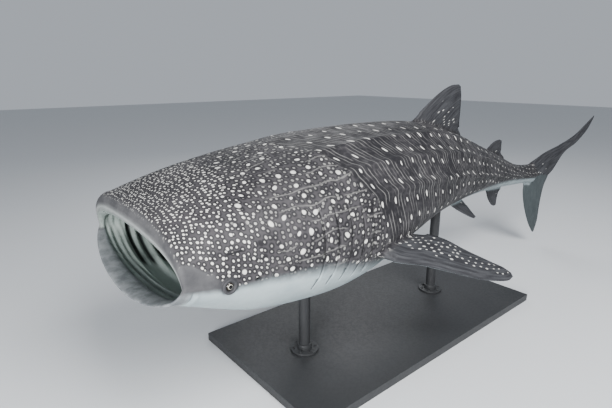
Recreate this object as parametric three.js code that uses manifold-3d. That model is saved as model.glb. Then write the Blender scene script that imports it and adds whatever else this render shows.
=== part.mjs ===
// Life-size model of a young whale shark, about six metres long, swimming with its mouth open,
// held by two rods on a flat base. Millimetres, +Z up, the head towards -X, its left side -Y.
import * as THREE from 'three';
import { mergeVertices } from 'three/addons/utils/BufferGeometryUtils.js';
import Module from 'manifold-3d';

const wasm = await Module();
wasm.setup();

// Driving dimensions. Along the straight fish X is counted from a point 290 mm before the snout.
const GAP = 0.3;
const RING_POINTS = 48;
const HEAD_END = 1000;
const GILL_END = 1620;
const TRUNK_END = 3370;
const TAIL_BASE_END = 4330;
const STALK_END = 4900;
const STEPS = { head: 92, gills: 103, trunk: 145, tail: 137, stalk: 114 };

// Body stations: x, half width, top, bottom, level of the widest line, squareness above and below.
const STATIONS = [
  { x: 360, w: 598, top: 147, bottom: -348, mid: -140, n: 3.0, nb: 1.85 },
  { x: 450, w: 612, top: 187, bottom: -378, mid: -142, n: 2.85, nb: 1.95 },
  { x: 600, w: 626, top: 249, bottom: -438, mid: -142, n: 2.65, nb: 2.05 },
  { x: 800, w: 645, top: 312, bottom: -503, mid: -138, n: 2.5, nb: 2.15 },
  { x: 1100, w: 664, top: 388, bottom: -540, mid: -120, n: 2.35, nb: 2.15 },
  { x: 1400, w: 662, top: 448, bottom: -545, mid: -95, n: 2.25, nb: 2.15 },
  { x: 1700, w: 628, top: 495, bottom: -500, mid: -65, n: 2.2, nb: 2.1 },
  { x: 2100, w: 548, top: 529, bottom: -370, mid: -15, n: 2.15, nb: 2.05 },
  { x: 2600, w: 440, top: 553, bottom: -235, mid: 45, n: 2.1, nb: 2.0 },
  { x: 3100, w: 346, top: 486, bottom: -155, mid: 80, n: 2.05, nb: 2.0 },
  { x: 3600, w: 265, top: 374, bottom: -110, mid: 85, n: 2.0, nb: 2.0 },
  { x: 4100, w: 196, top: 256, bottom: -92, mid: 66, n: 2.0, nb: 2.0 },
  { x: 4500, w: 150, top: 162, bottom: -78, mid: 46, n: 2.0, nb: 2.0 },
  { x: 4750, w: 120, top: 140, bottom: -66, mid: 38, n: 2.0, nb: 2.0 },
  { x: 4950, w: 92, top: 148, bottom: -70, mid: 40, n: 2.0, nb: 2.0 },
];

// Ridges along the flanks: degrees above the widest line at either end, height, half width, run.
const RIDGES = [
  { start: 24, end: 4, height: 26, spread: 5.4, from: 1300, to: 4700 },
  { start: 44, end: 30, height: 22, spread: 5.2, from: 1150, to: 4000 },
  { start: 64, end: 54, height: 16, spread: 5.2, from: 1150, to: 3500 },
  { start: 90, end: 90, height: 12, spread: 5.2, from: 900, to: 2600 },
];
const KEEL = { height: 34, spread: 11, from: 3500, full: 4500 };

// Mouth: the rim stands almost square across the front of the head.
const RIM_X = 360;
const LIP = { w: 566, top: 3, bottom: -306, mid: -140, n: 2.45, nb: 1.95 };
const RIM_BULGE = { side: 22, top: 74, bottom: 104 };
const THROAT = [
  { x: 378, w: 576, top: 24, bottom: -318, mid: -140, n: 2.5, nb: 1.98 },
  { x: 425, w: 570, top: 32, bottom: -330, mid: -140, n: 2.45, nb: 2.0 },
  { x: 460, w: 550, top: 22, bottom: -326, mid: -140, n: 2.5, nb: 2.0 },
  { x: 495, w: 562, top: 38, bottom: -352, mid: -140, n: 2.4, nb: 2.05 },
  { x: 560, w: 550, top: 42, bottom: -364, mid: -140, n: 2.3, nb: 2.1 },
  { x: 600, w: 524, top: 28, bottom: -350, mid: -140, n: 2.3, nb: 2.1 },
  { x: 640, w: 538, top: 40, bottom: -364, mid: -140, n: 2.3, nb: 2.1 },
  { x: 690, w: 502, top: 18, bottom: -346, mid: -140, n: 2.2, nb: 2.1 },
  { x: 730, w: 514, top: 28, bottom: -354, mid: -140, n: 2.2, nb: 2.1 },
  { x: 790, w: 458, top: -4, bottom: -324, mid: -145, n: 2.2, nb: 2.1 },
  { x: 830, w: 464, top: 2, bottom: -328, mid: -145, n: 2.1, nb: 2.05 },
  { x: 890, w: 330, top: -50, bottom: -276, mid: -155, n: 2.0, nb: 2.0 },
];
const THROAT_END = { x: 925, z: -165 };
const JAW_CUT = { x: 352, z: -156, slope: 0.95 };

// Eyes, spiracles and nostrils on the sides of the head.
const EYE = { x: 552, z: -158, radius: 27, out: 7, rimRadius: 33, rimThick: 8 };
const SPIRACLE = { x: 700, z: -150, long: 17, high: 10 };
const NOSTRIL = { x: 305, y: 415, z: -6, size: 20 };

// Five gill slits a side, each a curved cut that slants forward into the body.
const GILLS = { first: 1110, step: 98, top: 150, bottom: -300, depth: 52, width: 8, bow: 34 };

// How the swimming body bends, in degrees, and how far the head is up.
const BEND = { neck: 1.0, flank: 1.9, tail: -8.2, backDown: 1.8, tailDown: 1.3 };
const HEAD_UP = { degrees: 3.3, about: 2500 };

// Display stand.
const STAND = { length: 2600, width: 1300, thick: 60, at: 2350, rodRadius: 42, rods: [1500, 3050] };
const TAIL_CLEARANCE = 90;

const DEG = Math.PI / 180;

function clamp01(t) {
  return Math.min(1, Math.max(0, t));
}

function smooth(t) {
  const u = clamp01(t);
  return u * u * (3 - 2 * u);
}

function signedPower(v, p) {
  return Math.sign(v) * Math.pow(Math.abs(v), p);
}

// A row of a table at x, by a smooth curve through the rows.
function rowAt(rows, x) {
  let i = 0;
  while (i < rows.length - 2 && x > rows[i + 1].x) i += 1;
  const a = rows[Math.max(0, i - 1)];
  const b = rows[i];
  const c = rows[i + 1];
  const d = rows[Math.min(rows.length - 1, i + 2)];
  const t = clamp01((x - b.x) / (c.x - b.x));
  const out = { x };
  for (const key of ['w', 'top', 'bottom', 'mid', 'n', 'nb']) {
    const inSlope = c.x === a.x ? 0 : (c[key] - a[key]) / (c.x - a.x);
    const outSlope = d.x === b.x ? 0 : (d[key] - b[key]) / (d.x - b.x);
    const h = c.x - b.x;
    out[key] = (2 * t ** 3 - 3 * t ** 2 + 1) * b[key] + (t ** 3 - 2 * t ** 2 + t) * h * inSlope
      + (3 * t ** 2 - 2 * t ** 3) * c[key] + (t ** 3 - t ** 2) * h * outSlope;
  }
  return out;
}

// A point on a rounded-square ring: angle 0 is the left side, 90 the top, 180 the right side.
function ringPoint(row, angle, grow = 0) {
  const above = Math.sin(angle) > 0;
  const square = above ? row.n : row.nb;
  const c = signedPower(Math.cos(angle), 2 / square);
  const s = signedPower(Math.sin(angle), 2 / square);
  const high = above ? row.top - row.mid + grow : row.mid - row.bottom + grow;
  return { y: -(row.w + grow) * c, z: row.mid + high * s };
}

// How far the ridges and the tail keel stand out of the smooth body.
function ridgeHeight(x, angle) {
  const degrees = angle / DEG;
  const folded = degrees > 90 && degrees < 270 ? 180 - degrees : degrees > 269 ? degrees - 360 : degrees;
  let out = 0;
  for (const ridge of RIDGES) {
    const ends = smooth((x - ridge.from) / 350) * smooth((ridge.to - x) / 500);
    const middle = ridge.start + (ridge.end - ridge.start) * smooth((x - ridge.from) / 2400);
    const off = (folded - middle) / ridge.spread;
    out += ridge.height * ends * Math.exp(-off * off);
  }
  const keelOff = (folded - 3) / KEEL.spread;
  out += KEEL.height * smooth((x - KEEL.from) / (KEEL.full - KEEL.from)) * Math.exp(-keelOff * keelOff);
  return out;
}

function bodyPoint(x, angle, grow = 0) {
  const row = rowAt(STATIONS, x);
  const p = ringPoint(row, angle, grow);
  const dy = p.y;
  const dz = p.z - row.mid;
  const far = Math.hypot(dy, dz) || 1;
  const extra = ridgeHeight(x, angle);
  return [x, p.y + extra * dy / far, p.z + extra * dz / far];
}

// The body's half width at a height, without ridges.
function sideAt(x, z) {
  const row = rowAt(STATIONS, x);
  const high = z > row.mid ? row.top - row.mid : row.mid - row.bottom;
  const share = Math.min(1, Math.abs(z - row.mid) / high);
  const square = z > row.mid ? row.n : row.nb;
  return row.w * Math.pow(1 - Math.pow(share, square), 1 / square);
}

// A closed solid over a list of loops of equal length, each end closed by a middle point.
function loft(loops, startPoint, endPoint) {
  const points = [];
  const faces = [];
  const count = loops[0].length;
  for (const loop of loops) for (const p of loop) points.push(p);
  const middle = (loop) => [0, 1, 2].map((k) => loop.reduce((sum, p) => sum + p[k], 0) / count);
  const first = points.push(startPoint ?? middle(loops[0])) - 1;
  const last = points.push(endPoint ?? middle(loops[loops.length - 1])) - 1;
  for (let j = 0; j < loops.length - 1; j += 1) {
    for (let i = 0; i < count; i += 1) {
      const a = j * count + i;
      const b = j * count + (i + 1) % count;
      faces.push([a, b, b + count], [a, b + count, a + count]);
    }
  }
  const end = (loops.length - 1) * count;
  for (let i = 0; i < count; i += 1) {
    const next = (i + 1) % count;
    faces.push([first, next, i]);
    faces.push([last, end + i, end + next]);
  }
  return solid(points, faces);
}

function signedVolume(points, faces) {
  let sum = 0;
  for (const [a, b, c] of faces) {
    const [p, q, r] = [points[a], points[b], points[c]];
    sum += p[0] * (q[1] * r[2] - q[2] * r[1]) + p[1] * (q[2] * r[0] - q[0] * r[2])
      + p[2] * (q[0] * r[1] - q[1] * r[0]);
  }
  return sum / 6;
}

function solid(points, faces) {
  const outward = signedVolume(points, faces) > 0;
  const triVerts = new Uint32Array(faces.flatMap((f) => (outward ? f : [f[0], f[2], f[1]])));
  return new wasm.Manifold(new wasm.Mesh({
    numProp: 3, vertProperties: new Float32Array(points.flat()), triVerts,
  }));
}

// A three.js shape, placed, as a solid.
function shaped(geometry, matrix) {
  const bare = geometry.toNonIndexed();
  bare.deleteAttribute('normal');
  bare.deleteAttribute('uv');
  bare.applyMatrix4(matrix);
  const merged = mergeVertices(bare, 1e-3);
  return new wasm.Manifold(new wasm.Mesh({
    numProp: 3,
    vertProperties: new Float32Array(merged.attributes.position.array),
    triVerts: new Uint32Array(merged.index.array),
  }));
}

function ball(x, y, z, rx, ry, rz, round = 12, high = 8) {
  const matrix = new THREE.Matrix4().makeScale(rx, ry, rz).setPosition(x, y, z);
  return shaped(new THREE.SphereGeometry(1, round, high), matrix);
}

function largest(body) {
  const pieces = body.decompose();
  pieces.sort((a, b) => b.volume() - a.volume());
  return pieces[0];
}

const angles = Array.from({ length: RING_POINTS }, (_, i) => (2 * Math.PI * i) / RING_POINTS);

function bodyLoop(x, grow = 0) {
  return angles.map((a) => bodyPoint(x, a, grow));
}

function spread(from, to, step) {
  const count = Math.max(1, Math.round((to - from) / step));
  return Array.from({ length: count + 1 }, (_, i) => from + ((to - from) * i) / count);
}

function bodyLength(from, to, step, grow = 0) {
  return loft(spread(from, to, step).map((x) => bodyLoop(x, grow)));
}

// The head is one surface that comes forward over the outside, rolls over the lips and goes
// back down the throat.
function headSolid() {
  const loops = spread(RIM_X, HEAD_END, STEPS.head).reverse().map((x) => bodyLoop(x));
  const outer = rowAt(STATIONS, RIM_X);
  for (let step = 1; step <= 6; step += 1) {
    const roll = (step / 6) * Math.PI;
    const share = (1 - Math.cos(roll)) / 2;
    loops.push(angles.map((a) => {
      const from = ringPoint(outer, a);
      const to = ringPoint(LIP, a);
      const up = Math.sin(a);
      const bulge = RIM_BULGE.side + (up > 0 ? (RIM_BULGE.top - RIM_BULGE.side) * Math.pow(up, 0.8)
        : (RIM_BULGE.bottom - RIM_BULGE.side) * -up);
      return [RIM_X - bulge * Math.sin(roll), from.y + (to.y - from.y) * share,
        from.z + (to.z - from.z) * share];
    }));
  }
  for (const row of THROAT) {
    loops.push(angles.map((a) => {
      const p = ringPoint(row, a);
      return [row.x, p.y, p.z];
    }));
  }
  return loft(loops, null, [THROAT_END.x, 0, THROAT_END.z]);
}

// Everything in front of and under a slanting plane through the corners of the mouth.
function jawBlock(shift) {
  const slope = JAW_CUT.slope;
  const z0 = JAW_CUT.z - shift;
  const at = (x) => z0 - (x - JAW_CUT.x) * slope;
  const flat = z0;
  const profile = [[200, flat], [JAW_CUT.x, flat], [900, at(900)], [200, at(900)]];
  const loop = (y) => profile.map(([x, z]) => [x, y, z]);
  return loft([loop(-900), loop(900)]);
}

function gillBlade(side, index) {
  const loops = [];
  const steps = 6;
  for (let i = 0; i <= steps; i += 1) {
    const v = (2 * i) / steps - 1;
    const z = (GILLS.top + GILLS.bottom) / 2 + (v * (GILLS.top - GILLS.bottom)) / 2;
    const x = GILLS.first + GILLS.step * index - GILLS.bow * v * v + 10 * v;
    const half = (GILLS.width / 2) * Math.sqrt(1.02 - v * v) + 0.6;
    const deep = GILLS.depth * Math.sqrt(1.05 - v * v);
    const y = sideAt(x, z);
    const outX = x + 16;
    const inX = x - deep * 0.9;
    loops.push([[outX - half, side * (y + 30), z], [outX + half, side * (y + 30), z],
      [inX + half, side * (y - deep), z], [inX - half, side * (y - deep), z]]);
  }
  return loft(loops);
}

// Fins are lens-shaped lofts between a leading and a trailing line, from root to tip.
function curveAt(points, t) {
  const curve = new THREE.CatmullRomCurve3(points.map((p) => new THREE.Vector3(...p)), false, 'centripetal');
  return curve.getPoint(clamp01(t));
}

const LENS = [[0.035, 0.42], [0.12, 0.76], [0.28, 1], [0.5, 0.88], [0.75, 0.5]];

function fin({ lead, trail, normal, rootThick, tipThick, stations = 13, grow = 0 }) {
  const loops = [];
  for (let j = 0; j < stations; j += 1) {
    const t = Math.pow(j / (stations - 1), 0.92);
    const a = curveAt(lead, t);
    const b = curveAt(trail, t);
    const n = new THREE.Vector3(...normal).normalize();
    const chord = b.clone().sub(a);
    const width = Math.max(1, chord.length());
    a.addScaledVector(chord, (-3 * grow) / width);
    chord.multiplyScalar(1 + (6 * grow) / width);
    const thick = (rootThick + (tipThick - rootThick) * Math.pow(t, 0.8)) / 2 + grow;
    const edge = Math.max(1.2, thick * 0.12) + grow;
    const at = (share, off) => {
      const p = a.clone().addScaledVector(chord, share).addScaledVector(n, off);
      return [p.x, p.y, p.z];
    };
    const up = LENS.map(([share, k]) => at(share, thick * k));
    const down = LENS.map(([share, k]) => at(share, -thick * k)).reverse();
    loops.push([at(0, 0), ...up, at(1, edge), at(1, -edge), ...down]);
  }
  return loft(loops);
}

function flat(points) {
  return points.map(([x, z]) => [x, 0, z]);
}

function mirrored(points) {
  return points.map(([x, y, z]) => [x, -y, z]);
}

const FIRST_DORSAL = {
  lead: flat([[2470, 470], [2590, 562], [2728, 662], [2922, 794], [3090, 872], [3212, 892]]),
  trail: flat([[3420, 330], [3400, 440], [3318, 520], [3295, 680], [3278, 800], [3248, 878]]),
  normal: [0, 1, 0], rootThick: 92, tipThick: 14, stations: 13,
};
const SECOND_DORSAL = {
  lead: flat([[3820, 230], [3910, 318], [4000, 368], [4085, 402], [4165, 415]]),
  trail: flat([[4370, 130], [4350, 215], [4250, 270], [4228, 340], [4215, 404]]),
  normal: [0, 1, 0], rootThick: 44, tipThick: 9, stations: 11,
};
const ANAL = {
  lead: flat([[4010, -90], [4070, -160], [4140, -232], [4230, -290], [4290, -302]]),
  trail: flat([[4400, -60], [4380, -118], [4330, -160], [4318, -220], [4322, -292]]),
  normal: [0, 1, 0], rootThick: 36, tipThick: 8, stations: 10,
};
const PELVIC_LEFT = {
  lead: [[3040, -100, -105], [3090, -165, -165], [3170, -222, -214], [3250, -266, -254], [3300, -284, -270]],
  trail: [[3350, -55, -70], [3350, -108, -122], [3345, -172, -176], [3350, -228, -228], [3350, -272, -262]],
  normal: [0, -0.68, 0.73], rootThick: 40, tipThick: 9, stations: 9,
};
const PECTORAL_LEFT = {
  lead: [[1500, -470, -150], [1600, -640, -228], [1690, -690, -256], [1860, -742, -292],
    [2070, -828, -354], [2280, -916, -416], [2450, -964, -450], [2570, -984, -463],
    [2640, -976, -455]],
  trail: [[1860, -370, -30], [1900, -520, -126], [1985, -548, -146], [2110, -580, -168],
    [2240, -640, -208], [2375, -742, -284], [2530, -850, -361], [2618, -908, -404],
    [2654, -952, -436]],
  normal: [-0.06, -0.62, 0.78], rootThick: 96, tipThick: 16, stations: 16,
};
const UPPER_LOBE = {
  lead: flat([[4800, 70], [4915, 152], [5060, 222], [5209, 290], [5521, 392], [5840, 524],
    [6045, 658], [6232, 790]]),
  trail: flat([[4870, -30], [5060, -32], [5290, -10], [5432, 62], [5650, 300], [5905, 432],
    [6130, 610], [6238, 772]]),
  normal: [0, 1, 0], rootThick: 118, tipThick: 10, stations: 18,
};
const LOWER_LOBE = {
  lead: flat([[4800, 40], [4858, -90], [4905, -230], [4980, -370], [5130, -568], [5262, -690]]),
  trail: flat([[5330, 150], [5372, 40], [5318, -110], [5305, -300], [5322, -560], [5292, -692]]),
  normal: [0, 1, 0], rootThick: 74, tipThick: 9, stations: 14,
};

// The swimming pose: the straight fish is bent along its spine, then pitched.
const SPINE_STEP = 10;
const spine = [];
{
  const at = [0, 0, 0];
  for (let x = 0; x <= 6400; x += SPINE_STEP) {
    const yaw = DEG * (BEND.neck * clamp01((x - 800) / 1700) + BEND.flank * clamp01((x - 2500) / 1500)
      + BEND.tail * clamp01((x - 4000) / 1000));
    const down = DEG * (BEND.backDown * clamp01((x - 800) / 2000)
      + BEND.tailDown * clamp01((x - 2800) / 2000));
    const along = [Math.cos(yaw) * Math.cos(down), Math.sin(yaw) * Math.cos(down), -Math.sin(down)];
    spine.push({ at: [...at], along, yaw });
    for (let k = 0; k < 3; k += 1) at[k] += along[k] * SPINE_STEP;
  }
}

function posed([x, y, z]) {
  const place = Math.min(spine.length - 2, Math.max(0, Math.floor(x / SPINE_STEP)));
  const share = x / SPINE_STEP - place;
  const a = spine[place];
  const b = spine[place + 1];
  const yaw = a.yaw + (b.yaw - a.yaw) * share;
  const along = [0, 1, 2].map((k) => a.along[k] + (b.along[k] - a.along[k]) * share);
  const side = [-Math.sin(yaw), Math.cos(yaw), 0];
  const up = [along[1] * side[2] - along[2] * side[1], along[2] * side[0] - along[0] * side[2],
    along[0] * side[1] - along[1] * side[0]];
  const p = [0, 1, 2].map((k) => a.at[k] + (b.at[k] - a.at[k]) * share + side[k] * y + up[k] * z);
  const turn = HEAD_UP.degrees * DEG;
  const dx = p[0] - HEAD_UP.about;
  return [HEAD_UP.about + dx * Math.cos(turn) + p[2] * Math.sin(turn), p[1],
    p[2] * Math.cos(turn) - dx * Math.sin(turn)];
}

function posedSolid(body) {
  const mesh = body.getMesh();
  const from = mesh.vertProperties;
  const to = new Float32Array(from.length);
  for (let i = 0; i < from.length; i += 3) to.set(posed([from[i], from[i + 1], from[i + 2]]), i);
  return new wasm.Manifold(new wasm.Mesh({ numProp: 3, vertProperties: to, triVerts: mesh.triVerts }));
}

// The pieces of the straight fish.
const guardPlaces = [
  ...spread(RIM_X, HEAD_END, STEPS.head),
  ...spread(HEAD_END, GILL_END, STEPS.gills).slice(1),
  ...spread(GILL_END, TRUNK_END, STEPS.trunk).slice(1),
  ...spread(TRUNK_END, TAIL_BASE_END, STEPS.tail).slice(1),
  ...spread(TAIL_BASE_END, STALK_END, STEPS.stalk).slice(1),
  STALK_END + 40,
];
const guard = loft(guardPlaces.map((x) => bodyLoop(x, 1.5 * GAP)));
let head = headSolid();
for (const side of [-1, 1]) {
  const y = sideAt(EYE.x, EYE.z) - EYE.radius + EYE.out;
  const rim = new THREE.TorusGeometry(EYE.rimRadius, EYE.rimThick, 6, 16);
  const rimPlace = new THREE.Matrix4().makeRotationX(Math.PI / 2)
    .setPosition(EYE.x, side * (y + EYE.radius - EYE.out + 1), EYE.z);
  head = head.add(shaped(rim, rimPlace));
  const socket = EYE.radius + GAP;
  head = head.subtract(ball(EYE.x, side * y, EYE.z, socket, socket, socket, 16, 10));
  const beside = sideAt(SPIRACLE.x, SPIRACLE.z);
  head = head.subtract(ball(SPIRACLE.x, side * beside, SPIRACLE.z, SPIRACLE.long, 26, SPIRACLE.high));
  head = head.subtract(ball(NOSTRIL.x, side * NOSTRIL.y, NOSTRIL.z, 34, NOSTRIL.size, NOSTRIL.size * 0.7));
}
const jaw = largest(head.intersect(jawBlock(GAP)));
const skull = largest(head.subtract(jawBlock(0)));

let gills = bodyLength(HEAD_END + GAP, GILL_END, STEPS.gills);
for (const side of [-1, 1]) {
  for (let i = 0; i < 5; i += 1) gills = gills.subtract(gillBlade(side, i));
}

const straight = {
  head: skull,
  lower_jaw: jaw,
  gill_region: largest(gills),
  trunk: bodyLength(GILL_END + GAP, TRUNK_END, STEPS.trunk),
  tail_base: bodyLength(TRUNK_END + GAP, TAIL_BASE_END, STEPS.tail),
  tail_stalk: bodyLength(TAIL_BASE_END + GAP, STALK_END, STEPS.stalk),
};

const upperLobe = largest(fin(UPPER_LOBE).subtract(guard));
const upperGuard = fin({ ...UPPER_LOBE, grow: GAP });
straight.first_dorsal_fin = largest(fin(FIRST_DORSAL).subtract(guard));
straight.second_dorsal_fin = largest(fin(SECOND_DORSAL).subtract(guard));
straight.anal_fin = largest(fin(ANAL).subtract(guard));
straight.caudal_upper_lobe = upperLobe;
straight.caudal_lower_lobe = largest(fin(LOWER_LOBE).subtract(guard).subtract(upperGuard));
straight.pectoral_fin_left = largest(fin(PECTORAL_LEFT).subtract(guard));
straight.pelvic_fin_left = largest(fin(PELVIC_LEFT).subtract(guard));
for (const [name, shape] of [['pectoral_fin_right', PECTORAL_LEFT], ['pelvic_fin_right', PELVIC_LEFT]]) {
  const [nx, ny, nz] = shape.normal;
  const other = { ...shape, lead: mirrored(shape.lead), trail: mirrored(shape.trail), normal: [nx, -ny, nz] };
  straight[name] = largest(fin(other).subtract(guard));
}
for (const [name, side] of [['eye_left', -1], ['eye_right', 1]]) {
  const y = side * (sideAt(EYE.x, EYE.z) - EYE.radius + EYE.out);
  straight[name] = ball(EYE.x, y, EYE.z, EYE.radius, EYE.radius, EYE.radius, 16, 10);
}

const placed = {};
let lowest = Infinity;
for (const [name, body] of Object.entries(straight)) {
  placed[name] = posedSolid(body);
  lowest = Math.min(lowest, placed[name].boundingBox().min[2]);
}

// The stand: the lowest fin tip clears the base and the rods run up into the belly.
const baseTop = lowest - TAIL_CLEARANCE;
const posedGuard = posedSolid(guard);
const basePlace = new THREE.Matrix4().setPosition(STAND.at, 0, baseTop - STAND.thick / 2);
placed.stand_base = shaped(new THREE.BoxGeometry(STAND.length, STAND.width, STAND.thick), basePlace);
STAND.rods.forEach((x, i) => {
  const foot = baseTop + GAP;
  const high = -baseTop;
  const rod = new THREE.CylinderGeometry(STAND.rodRadius, STAND.rodRadius, high, 28);
  const place = new THREE.Matrix4().makeRotationX(Math.PI / 2).setPosition(x, 0, foot + high / 2);
  placed[i === 0 ? 'stand_rod_front' : 'stand_rod_rear'] = largest(shaped(rod, place).subtract(posedGuard));
});

// Colours and finishes.
const LOOKS = {
  skin: { color: 0x5b6266, roughness: 0.55, metalness: 0 },
  mouth: { color: 0x8f9b93, roughness: 0.5, metalness: 0 },
  fin: { color: 0x50575c, roughness: 0.55, metalness: 0 },
  eye: { color: 0x0c0d0f, roughness: 0.1, metalness: 0 },
  stand: { color: 0x2b2d30, roughness: 0.5, metalness: 0.6 },
};

function lookOf(name) {
  if (name.startsWith('stand_')) return LOOKS.stand;
  if (name.startsWith('eye_')) return LOOKS.eye;
  if (name.includes('fin') || name.includes('lobe')) return LOOKS.fin;
  return name === 'lower_jaw' ? LOOKS.mouth : LOOKS.skin;
}

// The origin: the middle of the whole outline, on the floor.
const box = { min: [Infinity, Infinity, Infinity], max: [-Infinity, -Infinity, -Infinity] };
for (const body of Object.values(placed)) {
  const b = body.boundingBox();
  for (let k = 0; k < 3; k += 1) {
    box.min[k] = Math.min(box.min[k], b.min[k]);
    box.max[k] = Math.max(box.max[k], b.max[k]);
  }
}
const origin = [(box.min[0] + box.max[0]) / 2, (box.min[1] + box.max[1]) / 2, box.min[2]];

const shark = new THREE.Group();
for (const [name, body] of Object.entries(placed)) {
  const mesh = body.getMesh();
  const geometry = new THREE.BufferGeometry();
  const moved = new Float32Array(mesh.vertProperties.length);
  for (let i = 0; i < moved.length; i += 1) moved[i] = mesh.vertProperties[i] - origin[i % 3];
  geometry.setAttribute('position', new THREE.BufferAttribute(moved, 3));
  geometry.setIndex(new THREE.BufferAttribute(new Uint32Array(mesh.triVerts), 1));
  geometry.computeVertexNormals();
  const part = new THREE.Mesh(geometry, new THREE.MeshStandardMaterial(lookOf(name)));
  part.name = name;
  shark.add(part);
}

export default shark;
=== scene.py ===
# A young whale shark, about six metres long, swims with its mouth open. This is a life-size display
# model of it on a flat base with two rods. Metres, the head towards -X, its left side -Y, +Z up.
import math
import bpy
import numpy as np
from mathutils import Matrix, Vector
from mathutils.kdtree import KDTree


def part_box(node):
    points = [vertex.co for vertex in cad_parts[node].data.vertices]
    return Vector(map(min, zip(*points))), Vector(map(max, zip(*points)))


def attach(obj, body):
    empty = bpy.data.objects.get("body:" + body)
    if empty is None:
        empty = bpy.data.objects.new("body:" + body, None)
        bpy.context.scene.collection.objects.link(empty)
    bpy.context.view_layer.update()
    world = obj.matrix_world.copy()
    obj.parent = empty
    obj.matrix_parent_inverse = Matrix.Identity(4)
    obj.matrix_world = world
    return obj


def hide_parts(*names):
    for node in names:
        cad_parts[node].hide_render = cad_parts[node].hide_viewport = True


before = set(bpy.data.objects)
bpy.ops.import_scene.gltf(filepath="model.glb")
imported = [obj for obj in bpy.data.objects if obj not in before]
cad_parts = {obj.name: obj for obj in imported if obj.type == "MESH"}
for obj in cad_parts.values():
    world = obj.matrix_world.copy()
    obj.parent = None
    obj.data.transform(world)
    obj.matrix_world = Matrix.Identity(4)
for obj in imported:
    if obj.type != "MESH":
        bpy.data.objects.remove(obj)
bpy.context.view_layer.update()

# The body is a firm tube of muscle and cartilage under thick skin, widest across the flat head.
# It is modelled straight first, in millimetres: x counts from just before the snout, and each row
# is a cross-section: x, half width, top, bottom, level of the widest line, squareness up and down.
BODY_ROWS = np.array([
    (360, 598, 147, -348, -140, 3.0, 1.85), (450, 612, 187, -378, -142, 2.85, 1.95),
    (600, 626, 249, -438, -142, 2.65, 2.05), (800, 645, 312, -503, -138, 2.5, 2.15),
    (1100, 664, 388, -540, -120, 2.35, 2.15), (1400, 662, 448, -545, -95, 2.25, 2.15),
    (1700, 628, 495, -500, -65, 2.2, 2.1), (2100, 548, 529, -370, -15, 2.15, 2.05),
    (2600, 440, 553, -235, 45, 2.1, 2.0), (3100, 346, 486, -155, 80, 2.05, 2.0),
    (3600, 265, 374, -110, 85, 2.0, 2.0), (4100, 196, 256, -92, 66, 2.0, 2.0),
    (4500, 150, 162, -78, 46, 2.0, 2.0), (4750, 120, 140, -66, 38, 2.0, 2.0),
    (4950, 92, 148, -70, 40, 2.0, 2.0)])
THROAT_ROWS = np.array([
    (360, 566, 3, -306, -140, 2.45, 1.95), (378, 576, 24, -318, -140, 2.5, 1.98),
    (425, 570, 32, -330, -140, 2.45, 2.0), (460, 550, 22, -326, -140, 2.5, 2.0),
    (495, 562, 38, -352, -140, 2.4, 2.05), (560, 550, 42, -364, -140, 2.3, 2.1),
    (600, 524, 28, -350, -140, 2.3, 2.1), (640, 538, 40, -364, -140, 2.3, 2.1),
    (690, 502, 18, -346, -140, 2.2, 2.1), (730, 514, 28, -354, -140, 2.2, 2.1),
    (790, 458, -4, -324, -145, 2.2, 2.1), (830, 464, 2, -328, -145, 2.1, 2.05),
    (890, 330, -50, -276, -155, 2.0, 2.0)])
# A ridge of the back: its angle above the widest line at the head and at the tail, its height and
# spread, and its first and last x.
RIDGES = [(24, 4, 26, 3.6, 1300, 4700), (44, 30, 22, 3.4, 1150, 4000), (64, 54, 16, 3.4, 1150, 3500),
          (90, 90, 12, 3.6, 900, 2600)]
RIDGE_DRIFT = 2400
KEEL_HEIGHT = 34
KEEL_ANGLE = 3
KEEL_SPREAD = 8.0


def smooth(t):
    t = np.clip(t, 0, 1)
    return t * t * (3 - 2 * t)


def section(rows, x):
    """One cross-section between two rows, by a smooth curve through them."""
    at = rows[:, 0]
    i = int(np.clip(np.searchsorted(at, x) - 1, 0, len(at) - 2))
    a, b, c, d = rows[max(0, i - 1)], rows[i], rows[i + 1], rows[min(len(at) - 1, i + 2)]
    h = c[0] - b[0]
    t = np.clip((x - b[0]) / h, 0, 1)
    slope_in = (c - a) / max(1e-6, c[0] - a[0])
    slope_out = (d - b) / max(1e-6, d[0] - b[0])
    row = ((2 * t**3 - 3 * t**2 + 1) * b + (t**3 - 2 * t**2 + t) * h * slope_in
           + (3 * t**2 - 2 * t**3) * c + (t**3 - t**2) * h * slope_out)
    return row[1:]


def ring(row, angle):
    """Points of a rounded-square ring; angle 0 is the left side, 90 degrees the top."""
    wide, top, bottom, middle, square_up, square_down = row
    above = np.sin(angle) > 0
    square = np.where(above, square_up, square_down)
    across = np.sign(np.cos(angle)) * np.abs(np.cos(angle)) ** (2 / square)
    rise = np.sign(np.sin(angle)) * np.abs(np.sin(angle)) ** (2 / square)
    return -wide * across, middle + np.where(above, top - middle, middle - bottom) * rise


def folded(angle):
    """Degrees above the widest line, alike on both sides."""
    d = np.degrees(angle) % 360
    return np.where((d > 90) & (d < 270), 180 - d, np.where(d >= 270, d - 360, d))


def pushed(y, z, middle, out):
    """Ring points moved outwards from the middle of the ring."""
    far = np.maximum(1, np.hypot(y, z - middle))
    return y + out * y / far, z + out * (z - middle) / far


def body_ring(x, angle):
    """A ring of the body with the ridges of the back and the keels of the tail."""
    row = section(BODY_ROWS, x)
    y, z = ring(row, angle)
    out = np.zeros_like(angle)
    for start, end, height, spread, x0, x1 in RIDGES:
        middle = start + (end - start) * smooth((x - x0) / RIDGE_DRIFT)
        ends = smooth((x - x0) / 350) * smooth((x1 - x) / 500)
        out += height * ends * np.exp(-(((folded(angle) - middle) / spread) ** 2))
    keel = np.exp(-(((folded(angle) - KEEL_ANGLE) / KEEL_SPREAD) ** 2))
    out += KEEL_HEIGHT * smooth((x - 3500) / 1000) * keel
    return pushed(y, z, row[3], out)


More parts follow.
